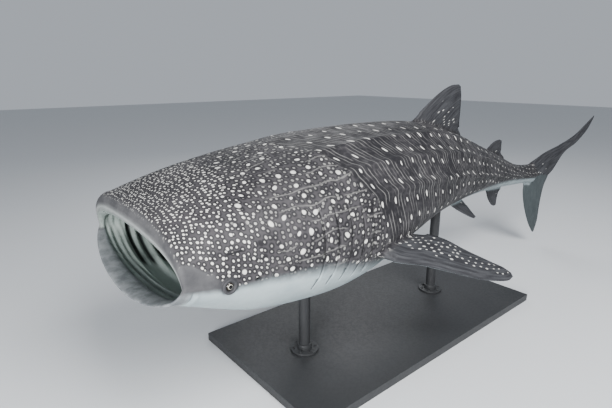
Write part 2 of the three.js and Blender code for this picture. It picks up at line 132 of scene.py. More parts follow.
def side_at(x, z):
    """Half width of the body at a level."""
    wide, top, bottom, middle, square_up, square_down = section(BODY_ROWS, x)
    high, square = (top - middle, square_up) if z > middle else (middle - bottom, square_down)
    return wide * (1 - min(1, abs(z - middle) / high) ** square) ** (1 / square)


def arch_wave(x):
    """The gill arches as a wave along the throat."""
    return np.sin((x - ARCH_X) / ARCH_STEP * 2 * math.pi)


def vertex_places(mesh):
    flat = np.empty(len(mesh.vertices) * 3)
    mesh.vertices.foreach_get("co", flat)
    return flat.reshape(-1, 3)


def wrapped(name, points, merge):
    """A grid wrapped over rings of points in metres, with its seam and ends merged."""
    rows, columns = points.shape[0] - 1, points.shape[1] - 1
    bpy.ops.object.select_all(action="DESELECT")
    bpy.ops.mesh.primitive_grid_add(x_subdivisions=rows, y_subdivisions=columns, size=2)
    made = bpy.context.object
    made.name = name
    flat = vertex_places(made.data)
    row = np.rint((flat[:, 0] + 1) / 2 * rows).astype(int)
    column = np.rint((flat[:, 1] + 1) / 2 * columns).astype(int)
    made.data.vertices.foreach_set("co", points[row, column].ravel())
    made.data.update()
    bpy.ops.object.mode_set(mode="EDIT")
    bpy.ops.mesh.select_all(action="SELECT")
    bpy.ops.mesh.remove_doubles(threshold=merge)
    bpy.ops.mesh.normals_make_consistent(inside=False)
    bpy.ops.object.mode_set(mode="OBJECT")
    return made


AROUND = 216
TAIL_X = 4945
LIP_X = 360
LIP_STEPS = 14
ARCH_X = 454
ARCH_STEP = 62
GULLET_X = 890
GULLET_END = np.array([925.0, 0, -165])
angles = np.linspace(0, 2 * np.pi, AROUND + 1)
up = np.sin(angles)
loops = []
# How far in a ring lies: 0 on the outer skin, 1 in the mouth, and between them over the lips.
inward = []
for x in np.concatenate([np.linspace(TAIL_X, 1000, 158), np.linspace(982, 440, 31),
                         np.linspace(432, LIP_X, 13)]):
    y, z = body_ring(x, angles)
    # A short upright crease beside each corner of the mouth.
    corner = smooth((-3 - folded(angles)) / 6) * smooth((folded(angles) + 44) / 16)
    dent = (5 * math.exp(-(((x - 404) / 9) ** 2)) - 13 * math.exp(-(((x - 385) / 6) ** 2))) * corner
    y = y * (1 + dent / 600)
    loops.append(np.stack([np.full(AROUND + 1, x), y, z], 1))
    inward.append(0)
# Over the lips: a thick rounded upper lip, a long scoop of a lower one.
outer = ring(section(BODY_ROWS, LIP_X), angles)
inner = ring(THROAT_ROWS[0, 1:], angles)
bulge = 22 + np.where(up > 0, 52 * np.abs(up) ** 0.8, 82 * np.abs(up))
for step in range(1, LIP_STEPS + 1):
    roll = math.pi * step / LIP_STEPS
    share = (1 - math.cos(roll)) / 2
    loops.append(np.stack([LIP_X - bulge * math.sin(roll), outer[0] + (inner[0] - outer[0]) * share,
                           outer[1] + (inner[1] - outer[1]) * share], 1))
    inward.append(share)
# Down the throat: a lining in soft folds, then five gill arches as hoops, then the gullet.
for x in np.concatenate([np.linspace(364, 516, 34), np.linspace(524, GULLET_X, 44)]):
    row = section(THROAT_ROWS, x)
    y, z = ring(row, angles)
    low = np.clip(0.35 - up, 0, 1)
    fold = 7 * np.sin((x - 372) / 6.0 + 1.2 * np.sin(angles * 2)) * low * smooth((x - 368) / 14)
    fold += 4 * np.sin(x / 5.2 + 2.5 * np.sin(angles * 3)) * (1 - 0.5 * low)
    fold *= smooth((486 - x) / 36) * smooth((x - 366) / 14)
    hoop = -20 * np.clip(arch_wave(x), -0.6, 1) * smooth((x - 470) / 16)
    hoop_part = np.clip(1.25 * np.abs(np.cos(angles)) - 0.25, 0, 1)
    y, z = pushed(y, z, row[3], fold + hoop * hoop_part)
    loops.append(np.stack([np.full(AROUND + 1, x), y, z], 1))
    inward.append(1)
gullet = np.stack([np.full(AROUND + 1, float(GULLET_X)), *ring(section(THROAT_ROWS, GULLET_X), angles)], 1)
for share in (0.6, 0.25, 0.0):
    closing = GULLET_END + (gullet - GULLET_END) * share
    closing[:, 0] = GULLET_END[0] - 35 * share**2
    loops.append(closing)
    inward.append(1)
# The tail end closes inside the root of the tail fin.
tail_ring = loops[0].copy()
for share in (0.5, 0.0):
    cap_middle = np.array([TAIL_X + 20 * (1 - share), 0, 38 * (1 - share)])
    loops.insert(0, tail_ring * np.array([0, share, share]) + cap_middle)
    inward.insert(0, 0)
body_points = np.array(loops) / 1000
skin = wrapped("shark_skin", body_points, 0.0004)

# Fins are stiff blades on rays of gristle, thick at the root and front edge, thin behind, with a
# fillet where they leave the body. Each is a lens-shaped strip between a front and a back line.
# The lens: part of the way from the front edge to the back, and part of the half thickness.
LENS = np.array([(0, 0), (0.012, 0.26), (0.035, 0.44), (0.08, 0.66), (0.15, 0.85), (0.26, 0.98),
                 (0.4, 0.97), (0.55, 0.83), (0.7, 0.62), (0.83, 0.4), (0.93, 0.22), (1.0, 0.12)])


def line_at(points, t):
    """A smooth curve through points, as the fin edges are drawn, that makes no loops."""
    p = [np.array(q, float) for q in points]
    count = len(p) - 1
    f = min(max(t, 0), 1) * count
    i = min(int(f), count - 1)
    w = f - i
    p0 = p[i - 1] if i > 0 else 2 * p[0] - p[1]
    p3 = p[i + 2] if i + 2 <= count else 2 * p[count] - p[count - 1]
    p1, p2 = p[i], p[i + 1]
    d = [max(1e-4, np.linalg.norm(b - a) ** 0.5) for a, b in ((p0, p1), (p1, p2), (p2, p3))]
    t1 = ((p1 - p0) / d[0] - (p2 - p0) / (d[0] + d[1]) + (p2 - p1) / d[1]) * d[1]
    t2 = ((p2 - p1) / d[1] - (p3 - p1) / (d[1] + d[2]) + (p3 - p2) / d[2]) * d[1]
    return p1 + t1 * w + (-3 * p1 + 3 * p2 - 2 * t1 - t2) * w**2 + (2 * p1 - 2 * p2 + t1 + t2) * w**3


def only(piece):
    """The one piece that is selected and active."""
    bpy.ops.object.select_all(action="DESELECT")
    piece.select_set(True)
    bpy.context.view_layer.objects.active = piece


def combine(tool, operation):
    """The tool is joined to the skin or cut out of it, and is gone."""
    only(skin)
    step = skin.modifiers.new("combine", "BOOLEAN")
    step.operation = operation
    step.solver = "MANIFOLD"
    step.object = tool
    bpy.ops.object.modifier_apply(modifier=step.name)
    bpy.data.objects.remove(tool, do_unlink=True)


# A fin: its front line, its back line, the way its left or upper face looks, its thickness at the
# root and at the tip, and its number of rings.
FINS = {
    "first_dorsal": (
        [(2470, 0, 470), (2590, 0, 562), (2728, 0, 662), (2922, 0, 794), (3090, 0, 872), (3212, 0, 892)],
        [(3420, 0, 330), (3400, 0, 440), (3318, 0, 520), (3295, 0, 680), (3278, 0, 800), (3248, 0, 878)],
        (0, 1, 0), 92, 14, 60),
    "second_dorsal": (
        [(3820, 0, 230), (3910, 0, 318), (4000, 0, 368), (4085, 0, 402), (4165, 0, 415)],
        [(4370, 0, 130), (4350, 0, 215), (4250, 0, 270), (4228, 0, 340), (4215, 0, 404)],
        (0, 1, 0), 44, 9, 36),
    "anal": (
        [(4010, 0, -90), (4070, 0, -160), (4140, 0, -232), (4230, 0, -290), (4290, 0, -302)],
        [(4400, 0, -60), (4380, 0, -118), (4330, 0, -160), (4318, 0, -220), (4322, 0, -292)],
        (0, 1, 0), 36, 8, 30),
    "pelvic": (
        [(3040, -100, -105), (3090, -165, -165), (3170, -222, -214), (3250, -266, -254),
         (3300, -284, -270)],
        [(3350, -55, -70), (3350, -108, -122), (3345, -172, -176), (3350, -228, -228),
         (3350, -272, -262)],
        (0, -0.68, 0.73), 40, 9, 30),
    "pectoral": (
        [(1500, -470, -150), (1600, -640, -228), (1690, -690, -256), (1860, -742, -292), (2070, -828, -354),
         (2280, -916, -416), (2450, -964, -450), (2570, -984, -463), (2640, -976, -455)],
        [(1860, -370, -30), (1900, -520, -126), (1985, -548, -146), (2110, -580, -168), (2240, -640, -208),
         (2375, -742, -284), (2530, -850, -361), (2618, -908, -404), (2654, -952, -436)],
        (-0.06, -0.62, 0.78), 96, 16, 84),
    "upper_lobe": (
        [(4800, 0, 70), (4915, 0, 152), (5060, 0, 222), (5209, 0, 290), (5521, 0, 392), (5840, 0, 524),
         (6045, 0, 658), (6232, 0, 790)],
        [(4870, 0, -30), (5060, 0, -32), (5290, 0, -10), (5432, 0, 62), (5650, 0, 300), (5905, 0, 432),
         (6130, 0, 610), (6238, 0, 772)],
        (0, 1, 0), 118, 10, 96),
    "lower_lobe": (
        [(4800, 0, 40), (4858, 0, -90), (4905, 0, -230), (4980, 0, -370), (5130, 0, -568), (5262, 0, -690)],
        [(5330, 0, 150), (5372, 0, 40), (5318, 0, -110), (5305, 0, -300), (5322, 0, -560), (5292, 0, -692)],
        (0, 1, 0), 74, 9, 60),
}
# How far out from the root a fin has spots, as part of its span.
FIN_REACH = {"first_dorsal": 0.62, "second_dorsal": 0.5, "anal": 0.5, "pelvic": 0.8, "pectoral": 0.97,
             "upper_lobe": 0.36, "lower_lobe": 0.25}
PAIRED = ("pelvic", "pectoral")
LEAST_EDGE = 1.2
fin_objects = []
fin_maps = []
for name, (lead, trail, normal, root_thick, tip_thick, stations) in FINS.items():
    for side in ((1, -1) if name in PAIRED else (1,)):
        mirror = np.array([1, side, 1.0])
        face = np.array(normal) * mirror
        face /= np.linalg.norm(face)
        profile = np.concatenate([LENS, LENS[::-1][:-1] * np.array([1, -1])])
        ring_size = len(profile)
        fin_loops = []
        for j in range(stations):
            t = (j / (stations - 1)) ** 0.92
            front = line_at(lead, t) * mirror
            back = line_at(trail, t) * mirror
            thick = (root_thick + (tip_thick - root_thick) * t**0.8) / 2
            # The tip is rounded off rather than cut square.
            thick *= math.sqrt(max(0.02, 1 - max(0, (t - 0.94) / 0.06) ** 2))
            edge = max(LEAST_EDGE, thick * 0.12) / thick
            off = np.where(profile[:, 0] >= 1, np.sign(profile[:, 1]) * edge, profile[:, 1]) * thick
            fin_loops.append(front + (back - front) * profile[:, :1] + face * off[:, None])
        # Where each point lies on the fin, for the markings.
        shape = np.array(fin_loops) / 1000
        spans = np.linalg.norm(np.diff(shape.mean(1), axis=0), axis=1)
        wide = np.linalg.norm(shape[:, len(LENS) - 1] - shape[:, 0], axis=1)
        part = np.tile(profile[:, 0], stations)
        below = np.tile(np.arange(ring_size) >= len(LENS), stations)
        fin_maps.append({
            "place": shape.reshape(-1, 3),
            "chord_part": part,
            "chord": part * np.repeat(wide, ring_size),
            "span": np.repeat(np.concatenate([[0], np.cumsum(spans)]), ring_size),
            "span_part": np.repeat(np.linspace(0, 1, stations), ring_size),
            "under": below * float(name in PAIRED),
            "reach": np.full(len(part), FIN_REACH[name]),
            "plain": np.full(len(part), 0.33 if name == "pectoral" else 0.14),
            "pale": np.full(len(part), float(name == "lower_lobe"))})
        ends = [np.tile(fin_loops[k].mean(0), (ring_size, 1)) for k in (0, -1)]
        points = np.array([ends[0]] + fin_loops + [ends[1]]) / 1000
        points = np.concatenate([points, points[:, :1]], 1)
        fin_objects.append(wrapped(f"{name}_{side}", points, 0.0002))
for fin in fin_objects:
    combine(fin, "UNION")

# Openings of the head and sides: the raised rim and socket of each small eye, the breathing hole
# behind it, the nostril in the corner of the upper lip, and five gill slits with overhanging flaps.
EYE_X = 552
EYE_Z = -158
EYE_RADIUS = 27
GILLS = 5
GILL_X = 1110
GILL_STEP = 98
GILL_Z = -75
GILL_HALF_HEIGHT = 225
GILL_DEPTH = 52
GILL_ROWS = 26
eye_y = side_at(EYE_X, EYE_Z) - EYE_RADIUS + 7
hole_y = side_at(700, -150)


def hollow(place, half_sizes):
    """A small opening in the skin, rounded like an egg."""
    bpy.ops.mesh.primitive_uv_sphere_add(segments=28, ring_count=14, radius=1, location=place,
                                         scale=half_sizes)
    combine(bpy.context.object, "DIFFERENCE")


for side in (-1, 1):
    bpy.ops.mesh.primitive_torus_add(
        location=(EYE_X / 1000, side * (eye_y + 20) / 1000, EYE_Z / 1000), rotation=(math.pi / 2, 0, 0),
        major_radius=0.031, minor_radius=0.009, major_segments=40, minor_segments=14)
    combine(bpy.context.object, "UNION")
    bpy.ops.mesh.primitive_uv_sphere_add(
        segments=36, ring_count=18, radius=(EYE_RADIUS + 0.6) / 1000,
        location=(EYE_X / 1000, side * eye_y / 1000, EYE_Z / 1000))
    combine(bpy.context.object, "DIFFERENCE")
    hollow((0.700, side * hole_y / 1000, -0.150), (0.017, 0.026, 0.010))
    hollow((0.305, side * 0.415, -0.006), (0.030, 0.017, 0.011))
    for i in range(GILLS):
        # A thin curved blade goes in behind a flap's edge and leans forward under it.
        rings = []
        for k in range(GILL_ROWS + 1):
            v = 2 * k / GILL_ROWS - 1
            z = GILL_Z + v * GILL_HALF_HEIGHT
            x = GILL_X + GILL_STEP * i - 34 * v * v + 10 * v
            half = 3.6 * math.sqrt(1.02 - v * v) + 0.5
            deep = GILL_DEPTH * math.sqrt(1.05 - v * v)
            y = side_at(x, z)
            rings.append([(x + 16 - half, side * (y + 30), z), (x + 16 + half, side * (y + 30), z),
                          (x - deep * 0.9 + half, side * (y - deep), z),
                          (x - deep * 0.9 - half, side * (y - deep), z)])
        corners = [tuple(c / 1000 for c in p) for r in rings for p in r]
        faces = [(4 * k + j, 4 * k + (j + 1) % 4, 4 * k + 4 + (j + 1) % 4, 4 * k + 4 + j)
                 for k in range(GILL_ROWS) for j in range(4)] + [(0, 3, 2, 1)]
        faces.append(tuple(4 * GILL_ROWS + j for j in range(4)))
        mesh = bpy.data.meshes.new("blade")
        mesh.from_pydata(corners, [], faces)
        blade = bpy.data.objects.new("blade", mesh)
        bpy.context.collection.objects.link(blade)
        only(blade)
        bpy.ops.object.mode_set(mode="EDIT")
        bpy.ops.mesh.select_all(action="SELECT")
        bpy.ops.mesh.normals_make_consistent(inside=False)
        bpy.ops.object.mode_set(mode="OBJECT")
        combine(blade, "DIFFERENCE")

# What the markings follow: a length along the skin, the girth from the middle of the back, and how
# far each point is belly, fin, mouth lining or plain lip. They are read while the fish is straight.
straight = vertex_places(skin.data)
x_mm = straight[:, 0] * 1000


def nearest(points):
    """For each skin vertex, the index of the nearest of some points, and how far off it is."""
    tree = KDTree(len(points))
    for j, p in enumerate(points):
        tree.insert(Vector(p), j)
    tree.balance()
    found = [tree.find(Vector(p)) for p in straight]
    return np.array([f[1] for f in found]), np.array([f[2] for f in found])


run = np.zeros(body_points.shape[:2])
run[1:] = np.cumsum(np.linalg.norm(np.diff(body_points, axis=0), axis=2), 0)
one_metre = int(np.argmin(np.abs(body_points[:, 0, 0] - 1.0)[:200]))
along = 1.0 - (run - run[one_metre])
round_steps = np.linalg.norm(np.diff(body_points, axis=1), axis=2)
girth = np.concatenate([np.zeros((len(loops), 1)), np.cumsum(round_steps, 1)], 1)
girth -= girth[:, [AROUND // 4]]
wrap = girth[:, [AROUND]] - girth[:, [0]]
girth = np.where(girth > wrap / 2, girth - wrap, girth)
near, gap = nearest(body_points.reshape(-1, 3))
pat_u = along.ravel()[near]
pat_v = girth.ravel()[near]
side_v = np.abs(pat_v)
share = np.repeat(inward, AROUND + 1)[near]
angle = np.tile(angles, len(loops))[near]
rise = folded(angle)
outside = share < 0.5
lining = share > 0.97

# Where one tone gives way to another: edges are x in millimetres and degrees above the widest line.
BELLY_EDGE = ([300, 360, 530, 760, 1130, 1600, 2100, 2800, 3500, 4300, 4900],
              [-5, -3, -4, -1, -4, -20, -40, -38, -28, -14, -12])
BELLY_FADE = ([300, 900, 1700, 3000], [12, 13, 22, 26])
CHEEK_EDGE = ([300, 360, 400, 450, 500, 540], [16, 14, 11, 6, 1, -6])
belly = np.clip((np.interp(x_mm, *BELLY_EDGE) - rise) / np.interp(x_mm, *BELLY_FADE) + 0.25, 0, 1)
fin_far = smooth((gap - 0.012) / 0.03)
fin_far[x_mm > 4960] = 1
upper = smooth((rise + 8) / 8)
mouth = upper * smooth((share - 0.62) / 0.25) + (1 - upper) * (share > 0.99) * smooth((x_mm - 364) / 12)
band = upper * smooth((share - 0.07) / 0.16) + (1 - upper) * smooth((0.40 - straight[:, 0]) / 0.05)
cheek = np.clip((np.interp(x_mm, *CHEEK_EDGE) - rise) / 9 + 0.5, 0, 1) * outside
cheek = cheek * smooth((0.57 - straight[:, 0]) / 0.03)
lip_edge = upper * np.clip(1 - np.abs(share - 0.62) / 0.16, 0, 1)
# Painted shade: the gaps between the gill arches in the lining are darkened as if no light reached into
# them.
slot_shade = smooth((-0.15 - arch_wave(x_mm)) / 0.4) * smooth((0.93 - np.abs(np.sin(angle))) / 0.10)
deep = np.where(lining & (x_mm > 478), slot_shade, 0)
mouth_floor = smooth((-0.78 - np.sin(angle)) / 0.12) * smooth((x_mm - 440) / 40)
floor_or_throat = lining * np.maximum(mouth_floor, smooth((x_mm - 720) / 60))
eye_gap = np.hypot(straight[:, 0] - EYE_X / 1000, straight[:, 2] - EYE_Z / 1000)
near_eye = smooth((0.050 - eye_gap) / 0.014) * outside * (np.abs(straight[:, 1]) > 0.3)

# Cells that the spots sit in: lengths along the skin, and the size of a cell there, in metres.
FINE_CELLS = ([0.3, 0.5, 0.8, 1.2], [0.022, 0.026, 0.032, 0.038])
BIG_CELLS = ([0.5, 0.9, 1.6], [0.078, 0.102, 0.108])
BIG_ROWS = ([0.5, 0.85, 1.6], [0.072, 0.090, 0.096])
FLANK_COLUMNS = ([1, 1.6, 2.4, 3.6, 4.6], [0.13, 0.15, 0.15, 0.105, 0.085])
FLANK_CELLS = ([1.2, 2.5, 3.6, 4.5], [0.125, 0.12, 0.08, 0.06])


def cells_along(values, at, sizes):
    """How many cells of a changing size lie between zero and each value."""
    x = np.linspace(-1, 7, 1601)
    return np.interp(values, x, np.cumsum(0.005 / np.interp(x, at, sizes)))


fine = (cells_along(pat_u, *FINE_CELLS), pat_v / np.interp(pat_u, *FINE_CELLS), share)
big = (cells_along(pat_u, *BIG_CELLS), pat_v / np.interp(pat_u, *BIG_ROWS), share)
lean = 0.38 * side_v + 0.13 * smooth(side_v / 0.7)
flank = (cells_along(pat_u - lean, *FLANK_COLUMNS), side_v / np.interp(pat_u, *FLANK_CELLS),
         np.sign(pat_v))
zone = smooth((pat_u - 0.52 * side_v - 0.98) / 0.30)
to_big = smooth((pat_u - 0.48) / 0.42)

# On a fin the markings follow its own chord and span, and its underside is pale.
fin_near = nearest(np.concatenate([m["place"] for m in fin_maps]))[0]
on_fin = {key: np.concatenate([m[key] for m in fin_maps])[fin_near] for key in fin_maps[0]}
under = on_fin["under"] * fin_far
fin_spots = (smooth((on_fin["chord_part"] - on_fin["plain"]) / 0.06)
             * smooth((0.90 - on_fin["chord_part"]) / 0.12)
             * smooth((on_fin["reach"] - on_fin["span_part"]) / 0.12))
fin_spots *= fin_far * (1 - under) * np.where(on_fin["reach"] > 0.9, 1.0, 0.35)
pale_lobe = on_fin["pale"] * fin_far

# The markings are kept on the skin as attributes, which its material reads.
for name, values in {"pat": (pat_u, pat_v, share), "rest": straight.T, "fine": fine, "big": big,
                     "flank": flank,
                     "finmap": (on_fin["chord"], on_fin["span"], on_fin["chord_part"])}.items():
    layer = skin.data.attributes.new(name, "FLOAT_VECTOR", "POINT")
    layer.data.foreach_set("vector", np.stack(values, 1).astype(np.float32).ravel())
for name, values in {"belly": belly, "fin": fin_far, "mouth": mouth, "band": band, "edge": lip_edge,
                     "deep": deep, "zone": zone, "to_big": to_big, "under": under,
                     "fin_spots": fin_spots, "upper": upper, "pale_lobe": pale_lobe,
                     "near_eye": near_eye, "cheek": cheek, "floor": floor_or_throat}.items():
    layer = skin.data.attributes.new(name, "FLOAT", "POINT")
    layer.data.foreach_set("value", values.astype(np.float32))

# Fillets where fins leave the body: skin and muscle run up the root of a fin in a soft curve, so the
# points close to each root are relaxed a little.
FILLET = 0.075
near_root = (gap > 0.004) & (gap < FILLET) & outside & (x_mm < 4960) & (x_mm > 1450)
roots = skin.vertex_groups.new(name="roots")
roots.add(np.nonzero(near_root)[0].tolist(), 1.0, "REPLACE")
only(skin)
relax = skin.modifiers.new("relax", "SMOOTH")
relax.vertex_group = "roots"
relax.factor = 0.5
relax.iterations = 14
bpy.ops.object.modifier_apply(modifier=relax.name)

# The swimming pose: the straight fish bends gently along its spine and swims slightly head up. A
# bend is an angle in degrees, the x in millimetres where it starts and the length that it takes.
BENDS = [(1.0, 800, 1700), (1.9, 2500, 1500), (-8.2, 4000, 1000)]
DROPS = [(1.8, 800, 2000), (1.3, 2800, 2000)]
HEAD_UP = math.radians(3.3)
TURN_X = 2.5


def posed(points):
    """Straight points in metres to the bent and pitched fish, before its origin is taken off."""
    at = np.arange(0, 6410, 10.0)
    yaw = sum(math.radians(bend) * np.clip((at - x0) / length, 0, 1) for bend, x0, length in BENDS)
    down = sum(math.radians(drop) * np.clip((at - x0) / length, 0, 1) for drop, x0, length in DROPS)
    direction = np.stack([np.cos(yaw) * np.cos(down), np.sin(yaw) * np.cos(down), -np.sin(down)], 1)
    spine = np.concatenate([np.zeros((1, 3)), np.cumsum(direction[:-1] * 0.01, 0)])
    p = np.atleast_2d(points)
    i = np.clip((p[:, 0] * 100).astype(int), 0, len(at) - 2)
    f = (p[:, 0] * 100 - i)[:, None]
    centre = spine[i] * (1 - f) + spine[i + 1] * f
    turn = yaw[i] * (1 - f[:, 0]) + yaw[i + 1] * f[:, 0]
    ahead = direction[i] * (1 - f) + direction[i + 1] * f
    across = np.stack([-np.sin(turn), np.cos(turn), 0 * turn], 1)
    q = centre + across * p[:, 1:2] + np.cross(ahead, across) * p[:, 2:3]
    c, s = math.cos(HEAD_UP), math.sin(HEAD_UP)
    dx = q[:, 0] - TURN_X
    return np.stack([TURN_X + dx * c + q[:, 2] * s, q[:, 1], q[:, 2] * c - dx * s], 1)


low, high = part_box("eye_left")
eye_middle = (np.array(low) + np.array(high)) / 2
origin = posed([(EYE_X / 1000, -eye_y / 1000, EYE_Z / 1000)])[0] - eye_middle
skin.data.vertices.foreach_set("co", (posed(vertex_places(skin.data)) - origin).ravel())
skin.data.update()
bpy.ops.object.shade_smooth()

# Skin: tough and matt with a fine grain of tooth-like scales, dark grey above with cream spots,
# pale below, and a smooth grey-green lining in the mouth. It covers the animal in one piece.
BACK_DARK = (0.020, 0.019, 0.022, 1)
BACK_LIGHT = (0.072, 0.068, 0.072, 1)
FIN_DARK = (0.030, 0.030, 0.034, 1)
FIN_LIGHT = (0.066, 0.067, 0.072, 1)
LIP_DARK = (0.050, 0.050, 0.054, 1)
LIP_LIGHT = (0.128, 0.127, 0.130, 1)
LIP_EDGE = (0.40, 0.42, 0.41, 1)
CHIN_DARK = (0.145, 0.155, 0.163, 1)
CHIN_LIGHT = (0.255, 0.268, 0.274, 1)
BELLY_DARK = (0.25, 0.30, 0.32, 1)
BELLY_LIGHT = (0.43, 0.48, 0.485, 1)
EYE_RIM = (0.052, 0.052, 0.056, 1)
LOBE_TEAL = (0.082, 0.104, 0.106, 1)
SPOT_DULL = (0.50, 0.49, 0.46, 1)
SPOT_BRIGHT = (0.76, 0.75, 0.71, 1)
SCRATCH_DARK = (0.012, 0.012, 0.014, 1)
LINING_DARK = (0.150, 0.180, 0.172, 1)
LINING_LIGHT = (0.360, 0.400, 0.375, 1)
THROAT_PALE = (0.440, 0.500, 0.475, 1)
# Painted shade for the gaps between the gill arches in the mouth lining.
SLOT_SHADE = (0.022, 0.026, 0.026, 1)
FIN_SPOT_GAP = 0.037
FIN_SPOT_STEP = 0.062


class Finish:
    """A material, with short ways to add and link the nodes that the finishes below are made of."""

    def __init__(self, name):
        self.material = bpy.data.materials.new(name)
        self.material.use_nodes = True
        self.tree = self.material.node_tree
        self.tree.nodes.clear()

    def node(self, kind, **values):
        made = self.tree.nodes.new(kind)
        for key, value in values.items():
            setattr(made, key, value)
        return made

    def link(self, source, node, slot):
        """A number or colour goes on the socket itself; another node's output is linked."""
        if isinstance(source, (int, float, tuple)):
            node.inputs[slot].default_value = source
        else:
            self.tree.links.new(source, node.inputs[slot])

    def math(self, operation, a, b=0.0, c=None, clamp=False):
        made = self.node("ShaderNodeMath", operation=operation, use_clamp=clamp)
        self.link(a, made, 0)
        self.link(b, made, 1)
        if c is not None:
            self.link(c, made, 2)
        return made.outputs[0]

    def plus(self, a, b):
        return self.math("ADD", a, b)

    def minus(self, a, b):
        return self.math("SUBTRACT", a, b)

    def times(self, a, b):
        return self.math("MULTIPLY", a, b)

    def most(self, a, b):
        return self.math("MAXIMUM", a, b)

    def without(self, a):
        """One less a, never below zero or above one."""
        return self.math("SUBTRACT", 1.0, a, clamp=True)

    def attribute(self, name, output="Fac"):
        return self.node("ShaderNodeAttribute", attribute_name=name).outputs[output]

    def ramp(self, value, low, high, out_low=0.0, out_high=1.0):
        made = self.node("ShaderNodeMapRange", interpolation_type="SMOOTHSTEP")
        for slot, v in enumerate((value, low, high, out_low, out_high)):
            self.link(v, made, slot)
        return made.outputs[0]

    def noise(self, vector, scale, detail=2.0, rough=0.5, output="Fac"):
        made = self.node("ShaderNodeTexNoise")
        self.link(vector, made, "Vector")
        self.link(scale, made, "Scale")
        self.link(detail, made, "Detail")
        self.link(rough, made, "Roughness")
        return made.outputs[output]

    def mix(self, factor, a, b):
        made = self.node("ShaderNodeMix", data_type="RGBA")
        self.link(factor, made, 0)
        self.link(a, made, 6)
        self.link(b, made, 7)
        return made.outputs[2]

    def vector(self, x, y, z=0.0):
        made = self.node("ShaderNodeCombineXYZ")
        for slot, value in enumerate((x, y, z)):
            self.link(value, made, slot)
        return made.outputs[0]

    def split(self, whole, kind="XYZ"):
        made = self.node("ShaderNodeSeparate" + kind)
        self.link(whole, made, 0)
        return made.outputs

    def cells(self, vector, randomness, output="Distance"):
        made = self.node("ShaderNodeTexVoronoi", voronoi_dimensions="2D", feature="F1")
        self.link(vector, made, "Vector")
        self.link(1.0, made, "Scale")
        self.link(randomness, made, "Randomness")
        return made.outputs[output]

    def dots(self, x, y, wide, high, jitter, keep, stagger):
        """One dot in each unit cell, rows staggered: how full it is, its distance, a random number."""
        row = self.math("FLOOR", y)
        x = self.plus(x, self.math("FRACT", self.times(row, stagger)))
        cell = self.node("ShaderNodeTexWhiteNoise", noise_dimensions="2D")
        self.link(self.vector(self.math("FLOOR", x), row), cell, "Vector")
        chance = self.split(cell.outputs["Color"], "Color")
        parts = []
        for value, which, size in ((x, 0, wide), (y, 1, high)):
            at = self.minus(self.math("FRACT", value), 0.5)
            at = self.minus(at, self.times(self.minus(chance[which], 0.5), jitter))
            parts.append(self.times(at, 1 / size))
        far = self.math("SQRT", self.plus(self.times(parts[0], parts[0]), self.times(parts[1], parts[1])))
        size = self.plus(0.72, self.times(chance[2], 0.5))
        full = self.ramp(self.math("DIVIDE", far, size), 1.22, 0.72)
        return self.times(full, self.math("LESS_THAN", chance[2], keep)), far, chance[0]

    def surface(self, colour, roughness):
        """The shader with its colour and roughness, linked to the output."""
        shader = self.node("ShaderNodeBsdfPrincipled")
        self.link(colour, shader, "Base Color")
        self.link(roughness, shader, "Roughness")
        self.link(shader.outputs[0], self.node("ShaderNodeOutputMaterial"), 0)
        return shader

    def bumps(self, shader, height, strength, distance):
        made = self.node("ShaderNodeBump")
        self.link(strength, made, "Strength")
        self.link(distance, made, "Distance")
        self.link(height, made, "Height")
        self.link(made.outputs[0], shader, "Normal")


hide = Finish("whale_shark_skin")
rest = hide.attribute("rest", "Vector")
rest_at, pat, fine_at, big_at, flank_at, fin_at = (
    hide.split(hide.attribute(name, "Vector"))
    for name in ("rest", "pat", "fine", "big", "flank", "finmap"))
waver = hide.split(hide.noise(rest, 4.5, 2.0, output="Color"), "Color")
shiver = hide.split(hide.noise(rest, 26.0, 2.0, output="Color"), "Color")
swing_u, swing_v, tiny_u, tiny_v = (hide.minus(part, 0.5) for part in (*waver[:2], *shiver[:2]))
to_big = hide.attribute("to_big")
fin = hide.attribute("fin")
band = hide.attribute("band")
near_eye = hide.attribute("near_eye")


def moved(value, swing, amount, tiny=None, tiny_amount=0.0):
    """A pattern's coordinate, shifted a little so that rows waver and edges aren't ruled."""
    value = hide.plus(value, hide.times(swing, amount))
    return value if tiny is None else hide.plus(value, hide.times(tiny, tiny_amount))


# Front of the head: small close spots, larger and further apart towards the cheek.
fine_uv = hide.vector(moved(fine_at[0], swing_u, 0.9, tiny_u, 0.25),
                      moved(fine_at[1], swing_v, 0.9, tiny_v, 0.25))
fine_far = hide.cells(fine_uv, 0.62)
fine_chance = hide.split(hide.cells(fine_uv, 0.62, "Color"), "Color")[0]
fine_size = hide.plus(0.13, hide.times(fine_chance, 0.15))
fine_dots = hide.ramp(hide.minus(fine_far, fine_size), 0.10, -0.09)
# Cheek: rows of big bright spots with winding pale lines between the rows.
big_u = moved(big_at[0], swing_u, 0.7, tiny_u, 0.10)
big_v = moved(big_at[1], swing_v, 1.0, tiny_v, 0.12)
big_dots, big_far, big_chance = hide.dots(big_u, big_v, 0.128, 0.140, 0.36, 0.93, 0.381)
big_shown = hide.ramp(hide.plus(to_big, hide.times(big_chance, 0.4)), 0.42, 0.62)
big_dots = hide.times(big_dots, big_shown)
between = hide.math("ABSOLUTE", hide.minus(hide.math("FRACT", hide.plus(big_v, 0.5)), 0.5))
winding = hide.times(hide.ramp(between, 0.070, 0.020), hide.ramp(hide.noise(rest, 5.0, 1.0), 0.45, 0.55))
winding = hide.times(winding, hide.ramp(to_big, 0.80, 1.0))
# The small spots keep clear of the big ones and of the lines.
beside_big = hide.times(hide.ramp(big_far, 2.3, 1.7), big_shown)
beside_line = hide.times(hide.ramp(between, 0.22, 0.12), hide.ramp(winding, 0.02, 0.30))
fine_dots = hide.times(fine_dots, hide.without(hide.most(beside_big, beside_line)))
fine_dots = hide.times(fine_dots, hide.ramp(to_big, 0.30, 1.0, 1.0, 0.36))
head_marks = hide.most(fine_dots, hide.most(big_dots, hide.times(winding, 0.18)))
